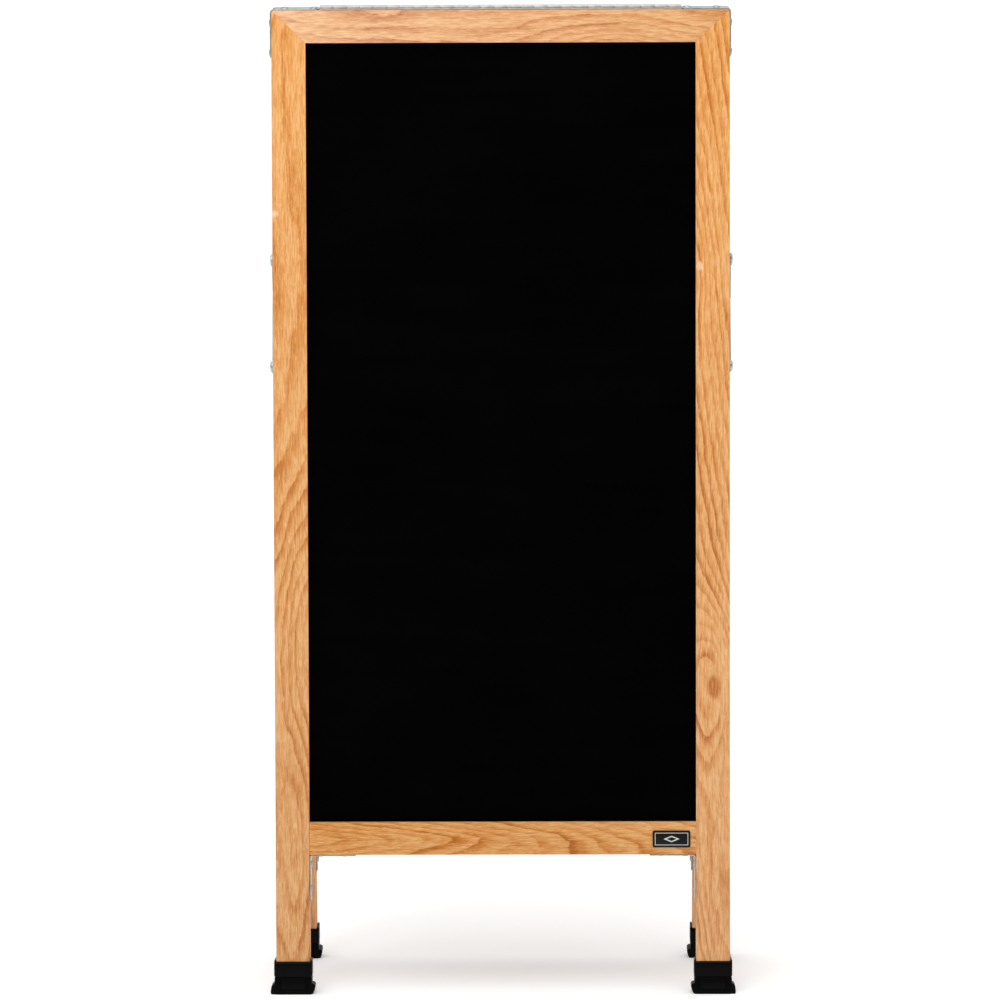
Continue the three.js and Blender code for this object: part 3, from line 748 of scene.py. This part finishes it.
# Radius, height and half length of the cross.
SCREW_HEAD = (3.6 * MM, 1.3 * MM, 2.1 * MM)
PIVOT_HEAD = (5.5 * MM, 1.9 * MM, 2.6 * MM)
RIVET_HEAD = (6.2 * MM, 1.5 * MM, 0.0)
SEAT = STRAP_THICK + FIT
for panel_name in PANELS:
    matrix, body = PANELS[panel_name], f"{panel_name}_panel"
    for side_name, world_side in SIDES:
        side = -world_side if panel_name == "rear" else world_side
        strap(f"{panel_name}_corner_strap_{side_name}", top_bracket_path(side), side, panel_name,
              [f"{panel_name}_top_bracket_{side_name}"])
        strap(f"{panel_name}_rail_strap_{side_name}", low_bracket_path(side), -side, panel_name,
              [f"{panel_name}_low_bracket_{side_name}"])
        for i, hole in enumerate(TOP_HOLES, 1):
            head(f"{panel_name}_head_top_{side_name}_{i}",
                 (side * (HALF_WIDTH - hole), -WOOD_MIDDLE, SEAT - WOOD_DROP), (0, 0, 1),
                 TURNS.uniform(0, 3), matrix, body, *SCREW_HEAD,
                 [f"{panel_name}_screw_top_{side_name}_{i}"])
            head(f"{panel_name}_head_side_{side_name}_{i}",
                 (side * (HALF_WIDTH + SEAT), -WOOD_MIDDLE, -hole - WOOD_DROP), (side, 0, 0),
                 TURNS.uniform(0, 3), matrix, body, *SCREW_HEAD,
                 [f"{panel_name}_screw_side_{side_name}_{i}"])
        for i, hole in enumerate(LOW_HOLES, 1):
            x, z = INNER_X - FIT, -RAIL_BOTTOM - FIT - WOOD_DROP
            head(f"{panel_name}_head_under_{side_name}_{i}",
                 (side * (x - hole), -WOOD_MIDDLE, z - STRAP_THICK), (0, 0, -1),
                 TURNS.uniform(0, 3), matrix, body, *SCREW_HEAD)
            head(f"{panel_name}_head_leg_{side_name}_{i}",
                 (side * (x - STRAP_THICK), -WOOD_MIDDLE, z - hole), (-side, 0, 0),
                 TURNS.uniform(0, 3), matrix, body, *SCREW_HEAD)
        head(f"{panel_name}_pivot_head_{side_name}",
             (side * (HALF_WIDTH + LINK_THICK + 3 * FIT), -WOOD_MIDDLE, -BRACE_DROP), (side, 0, 0),
             TURNS.uniform(0, 3), matrix, body, *PIVOT_HEAD,
             [f"{panel_name}_brace_pivot_{side_name}"])


# ---------------------------------------------------------------- piano hinge
def hinge_leaf(panel, first):
    """One leaf, with every second knuckle from the first one given."""
    bm = bmesh.new()
    pitch = HINGE_LENGTH / KNUCKLES
    low, high = -KNUCKLE_RADIUS, -KNUCKLE_RADIUS + LEAF_THICK
    half = HINGE_LENGTH / 2
    leaf = [(-LEAF_END, low), (-LEAF_START, low), (-LEAF_START, high), (-LEAF_END, high)]
    root = -LEAF_START - 0.2 * MM
    prism(bm, leaf, -half, half, "X")
    bevel(bm, sharp_edges(bm, 50), 0.2 * MM, 1)
    meet = 180 - math.degrees(math.asin(high / KNUCKLE_RADIUS))
    for i in range(first, KNUCKLES, 2):
        knuckle = bmesh.new()
        centre = (i - (KNUCKLES - 1) / 2) * pitch
        reach = (pitch - KNUCKLE_GAP) / 2
        outline = [(root, low), *arc(0, 0, KNUCKLE_RADIUS, -90, meet, 22), (root, high)]
        prism(knuckle, outline, centre - reach, centre + reach, "X")
        bevel(knuckle, sharp_edges(knuckle, 50), 0.25 * MM, 2)
        absorb(bm, knuckle)
    finish_piece(f"{panel}_hinge_strip", bm, PANELS[panel], "zinc", f"{panel}_panel",
                 [f"{panel}_hinge_leaf"], 30, "hinge")


HINGE_SCREWS = 6
HINGE_SCREW_STEP = 68 * MM
HINGE_SCREW_Y = -12.4 * MM
HINGE_SCREW_HEAD = (3 * MM, 0.7 * MM, 1.8 * MM)

hinge_leaf("front", 0)
hinge_leaf("rear", 1)
for panel_name in PANELS:
    for i in range(HINGE_SCREWS):
        x = (i - (HINGE_SCREWS - 1) / 2) * HINGE_SCREW_STEP
        place = (x, HINGE_SCREW_Y, -KNUCKLE_RADIUS + LEAF_THICK + 0.02 * MM)
        head(f"{panel_name}_hinge_screw_{i + 1}", place, (0, 0, 1), TURNS.uniform(0, 3),
             PANELS[panel_name], f"{panel_name}_panel", *HINGE_SCREW_HEAD)


# ---------------------------------------------------------------- folding braces
# Where the front link, the rear link's outer part and the rivet's head start, measured outwards
# from the middle, and how far before the rivet the rear link's joggle ends and starts.
LAYER_1 = HALF_WIDTH + 2 * FIT
LAYER_2 = LAYER_1 + LINK_THICK + 2 * FIT
LAYER_3 = LAYER_2 + LINK_THICK + FIT
JOGGLE = (42 * MM, 47 * MM)
LINK_CUTS = 40


def link_outline(tail):
    """A flat bar with a round eye at each pivot; tail is how far it runs past the upper one."""
    half = LINK_WIDTH / 2
    neck = math.degrees(math.asin(half / LINK_EYE))
    side = 90 - neck
    points = arc(0, 0, LINK_EYE, 90 + neck, 450 - neck, 28)
    if tail:
        points += arc(0, LINK_LENGTH, LINK_EYE, -side, side, 8)
        points += arc(0, LINK_LENGTH + tail - half, half, 0, 180, 16)
        points += arc(0, LINK_LENGTH, LINK_EYE, 180 - side, 180 + side, 8)
    else:
        points += arc(0, LINK_LENGTH, LINK_EYE, -side, 180 + side, 28)
    return points


def ease(x):
    x = min(1.0, max(0.0, x))
    return x * x * (3 - 2 * x)


def front_link(side_name, side):
    bm = bmesh.new()
    x0, x1 = sorted((side * LAYER_1, side * (LAYER_1 + LINK_THICK)))
    prism(bm, link_outline(LINK_TAIL), x0, x1, "X")
    bevel(bm, sharp_edges(bm, 60), 0.25 * MM, 2)
    finish_piece(f"front_brace_{side_name}", bm, LINKS["front"], "zinc", f"front_link_{side_name}",
                 [f"front_link_{side_name}"])
    head(f"brace_rivet_head_{side_name}", (side * LAYER_3, 0, LINK_LENGTH), (side, 0, 0), 0.0,
         LINKS["front"], f"front_link_{side_name}", *RIVET_HEAD, [f"brace_rivet_{side_name}"])


def rear_link(side_name, side):
    """Drawn in the rear link's own frame, where side is turned round."""
    bm = bmesh.new()
    prism(bm, link_outline(0.0), 0, LINK_THICK, "X")
    places = [LINK_LENGTH * i / LINK_CUTS for i in range(1, LINK_CUTS)]
    cut_across(bm, Vector((0, 0, 1)), places)
    for vert in bm.verts:
        out = ease((vert.co.z - LINK_LENGTH + JOGGLE[1]) / (JOGGLE[1] - JOGGLE[0]))
        vert.co.x = side * (vert.co.x + LAYER_1 + (LAYER_2 - LAYER_1) * out)
    bevel(bm, sharp_edges(bm, 60), 0.25 * MM, 2)
    finish_piece(f"rear_brace_{side_name}", bm, LINKS["rear"], "zinc", f"rear_link_{side_name}",
                 [f"rear_link_{side_name}"])


for side_name, world_side in SIDES:
    front_link(side_name, world_side)
    rear_link(side_name, -world_side)


# ---------------------------------------------------------------- rubber boots
BOOT_WALL = 2.3 * MM
SUNK = -10 * MM


def loft(bm, rings):
    """Skins a stack of rings and closes both ends."""
    rows = [[bm.verts.new(p) for p in ring] for ring in rings]
    count = len(rings[0])
    for a, b in zip(rows, rows[1:]):
        for i in range(count):
            j = (i + 1) % count
            bm.faces.new((a[i], a[j], b[j], b[i]))
    bm.faces.new(rows[0])
    bm.faces.new(rows[-1])


def boot(panel, side_name, side):
    """Drawn past the floor by SUNK, and then cut flat along it."""
    bm = bmesh.new()
    sole = -(PIN_HEIGHT + WOOD_OUTER * math.sin(HALF_ANGLE)) / math.cos(HALF_ANGLE)
    w0, w1 = INNER_X - BOOT_WALL, HALF_WIDTH + BOOT_WALL
    x0, x1 = sorted((side * w0, side * w1))
    y0, y1 = -(WOOD_OUTER + BOOT_WALL), -(WOOD_INNER - BOOT_WALL)
    cx, cy = (x0 + x1) / 2, (y0 + y1) / 2

    def rim(y, low):
        """The rim's height: it stands higher in the middle of each side."""
        t = abs(y - cy) / ((y1 - y0) / 2)
        return low + BOOT_SIDE_RISE * ease((1 - t) / 0.55)

    def ring(inset, z, radius, raised=False, sides=None):
        """A level ring, or a raised one that follows the rim. sides is its inset at the sides,
        where that is another one."""
        across = inset if sides is None else sides
        made = []
        for x, y in ring_points(x0 + across, x1 - across, y0 + inset, y1 - inset, radius):
            on_side = abs(x - cx) > (x1 - x0) / 2 - 4.2 * MM
            made.append(Vector((x, y, rim(y, z) if raised and on_side else z)))
        return made

    top = sole + BOOT_HEIGHT
    neck = sole + 18.5 * MM
    loft(bm, [
        # lower part, and the groove over it
        ring(1.5 * MM, sole + SUNK, 1.2 * MM, sides=0.3 * MM),
        ring(1.5 * MM, neck - 1.7 * MM, 1.2 * MM, sides=0.3 * MM),
        ring(1.8 * MM, neck - 1.0 * MM, 1.2 * MM, sides=1.2 * MM),
        ring(1.8 * MM, neck, 1.2 * MM, sides=1.2 * MM),
        # band
        ring(0.2 * MM, neck + 0.15 * MM, 2.1 * MM),
        ring(0.0, neck + 0.6 * MM, 2.2 * MM),
        ring(0.0, top - 1.2 * MM, 2.2 * MM, True),
        # lip
        ring(0.15 * MM, top - 0.4 * MM, 2.1 * MM, True),
        ring(0.5 * MM, top, 1.9 * MM, True),
        ring(1.6 * MM, top, 1.2 * MM, True),
        # inside
        ring(1.9 * MM, top - 0.5 * MM, 1.0 * MM, True),
        ring(1.95 * MM, top - 3 * MM, 0.9 * MM, True),
        ring(1.95 * MM, sole + 12 * MM, 0.9 * MM)])

    def lump(points, back, front, width, segments):
        extra = bmesh.new()
        prism(extra, [(side * x, sole + z) for x, z in points], back, front, "Y")
        bevel(extra, sharp_edges(extra, 20), width, segments)
        absorb(bm, extra)

    def facing(a, b, bottom, height, sunk):
        """A block on the front and on the back, sunk that far below the band's face."""
        block = [(a, bottom), (b, bottom), (b, height), (a, height)]
        lump(block, y0 + sunk, y0 + 2.2 * MM, 0.4 * MM, 3)
        lump(block, y1 - 2.2 * MM, y1 - sunk, 0.4 * MM, 3)

    rib, rib_in, panel_in = 1.3 * MM, 4.6 * MM, 7 * MM
    # two ribs, a bar at their feet, a lip near their tops, a panel between them and a foot edge
    facing(w0 + rib_in, w0 + rib_in + rib, SUNK, 17 * MM, 0.4 * MM)
    facing(w1 - rib_in - rib, w1 - rib_in, SUNK, 17 * MM, 0.4 * MM)
    facing(w0 + rib_in, w1 - rib_in, 2.2 * MM, 3.6 * MM, 0.4 * MM)
    facing(w0 + rib_in, w1 - rib_in, 15.4 * MM, 16.4 * MM, 0.7 * MM)
    facing(w0 + panel_in, w1 - panel_in, 5 * MM, 14 * MM, 1.1 * MM)
    facing(w0 + 1.2 * MM, w1 - 1.2 * MM, SUNK, 1 * MM, 0.5 * MM)

    # the foot spreads on both sides
    outer = [(-3, SUNK / MM), (2.6, SUNK / MM), (3.6, 1), (3.7, 3), (3.1, 7.4), (2.4, 9.6),
             (1, 10.7), (-3, 11.2)]
    inner = [(3, SUNK / MM), (0.6, SUNK / MM), (-0.9, 1), (-2.2, 4), (-3.3, 8.4), (-2.7, 10.1),
             (-1.2, 11), (3, 11.4)]
    for edge, shape in ((w1, outer), (w0, inner)):
        lump([(edge + x * MM, z * MM) for x, z in shape],
             -(WOOD_OUTER + 0.9 * MM), -(WOOD_INNER - 0.5 * MM), 0.9 * MM, 4)

    # cut flat along the floor
    matrix = PANELS[panel]
    bmesh.ops.transform(bm, matrix=matrix, verts=bm.verts)
    down = matrix.to_3x3() @ Vector((0, 0, -1))
    for vert in bm.verts:
        if vert.co.z < 0.0:
            vert.co -= down * (vert.co.z / down.z)
    finish_piece(f"{panel}_rubber_boot_{side_name}", bm, Matrix.Identity(4), "rubber",
                 f"{panel}_panel", [f"{panel}_boot_{side_name}"], 32)


for panel_name in PANELS:
    for side_name, world_side in SIDES:
        boot(panel_name, side_name, -world_side if panel_name == "rear" else world_side)


# ---------------------------------------------------------------- label
def label():
    bm = bmesh.new()
    cx, cz = LABEL_PLACE
    outline = ring_points(cx - LABEL_WIDTH / 2, cx + LABEL_WIDTH / 2,
                          cz - LABEL_HEIGHT / 2, cz + LABEL_HEIGHT / 2, 1.8 * MM)
    prism(bm, outline, -WOOD_OUTER - 1.1 * MM, -WOOD_OUTER - 0.02 * MM, "Y")
    bevel(bm, sharp_edges(bm, 60), 0.25 * MM, 2)
    vector_attribute(bm, "face", lambda vert: (vert.co - Vector((cx, 0, cz))).xzy / MM)
    finish_piece("front_label", bm, PANELS["front"], "label", "front_panel", ["label_plate"])


label()

# The hinge pin is the CAD's own, and only takes a material.
for node in NODES.values():
    if not node.hide_render:
        for material_slot in node.material_slots:
            material_slot.material = MATERIALS["hinge"]


# ---------------------------------------------------------------- floor and light
def make_stage():
    n = Nodes("stage")
    at = n.node("TexCoord").outputs["Object"]
    white = n.ramp(n.noise(at, 3.0), [(0.0, (0.93, 0.93, 0.93, 1)), (1.0, (0.96, 0.96, 0.96, 1))])
    n.shade(colour=white, roughness=0.9, specular=0.1)
    n.shader.inputs["Emission Color"].default_value = (1, 1, 1, 1)
    n.shader.inputs["Emission Strength"].default_value = 0.22
    bm = bmesh.new()
    for x, y in ((-25, -25), (25, -25), (25, 25), (-25, 25)):
        bm.verts.new((x, y, 0))
    bm.faces.new(bm.verts[:])
    mesh = bpy.data.meshes.new("floor")
    bm.to_mesh(mesh)
    bm.free()
    mesh.materials.append(n.material)
    floor = bpy.data.objects.new("floor", mesh)
    bpy.context.scene.collection.objects.link(floor)


def area_light(name, place, target, size, power):
    data = bpy.data.lights.new(name, "AREA")
    data.shape = "RECTANGLE"
    data.size, data.size_y = size
    data.energy = power
    lamp = bpy.data.objects.new(name, data)
    bpy.context.scene.collection.objects.link(lamp)
    lamp.location = place
    aim = Vector(target) - Vector(place)
    lamp.rotation_mode = "QUATERNION"
    lamp.rotation_quaternion = aim.to_track_quat("-Z", "Y")


def soft_sun(name, direction, strength, spread):
    data = bpy.data.lights.new(name, "SUN")
    data.energy = strength
    data.angle = math.radians(spread)
    lamp = bpy.data.objects.new(name, data)
    bpy.context.scene.collection.objects.link(lamp)
    lamp.rotation_mode = "QUATERNION"
    lamp.rotation_quaternion = Vector(direction).to_track_quat("-Z", "Y")


def make_world():
    """White behind the floor, and a dimmer even glow for the light."""
    world = bpy.data.worlds.new("world")
    world.use_nodes = True
    tree = world.node_tree
    background = tree.nodes["Background"]
    background.inputs[0].default_value = (1, 1, 1, 1)
    path = tree.nodes.new("ShaderNodeLightPath")
    level = tree.nodes.new("ShaderNodeMapRange")
    level.inputs["To Min"].default_value = 0.40
    level.inputs["To Max"].default_value = 1.0
    tree.links.new(path.outputs["Is Camera Ray"], level.inputs["Value"])
    tree.links.new(level.outputs[0], background.inputs[1])
    bpy.context.scene.world = world


make_stage()
make_world()
soft_sun("overhead", (0.06, 0.12, -1), 1.75, 70)
area_light("key", (-0.7, -2.0, 2.3), (0, 0, 0.95), (1.4, 1.0), 15.8)
area_light("fill", (1.7, -2.8, 2.0), (0, 0, 0.8), (1.6, 1.6), 3)
area_light("back", (0.6, 3.0, 2.4), (0, 0, 0.8), (2.4, 1.6), 9)
bpy.context.scene.view_settings.view_transform = "Standard"
bpy.context.scene.view_settings.look = "None"
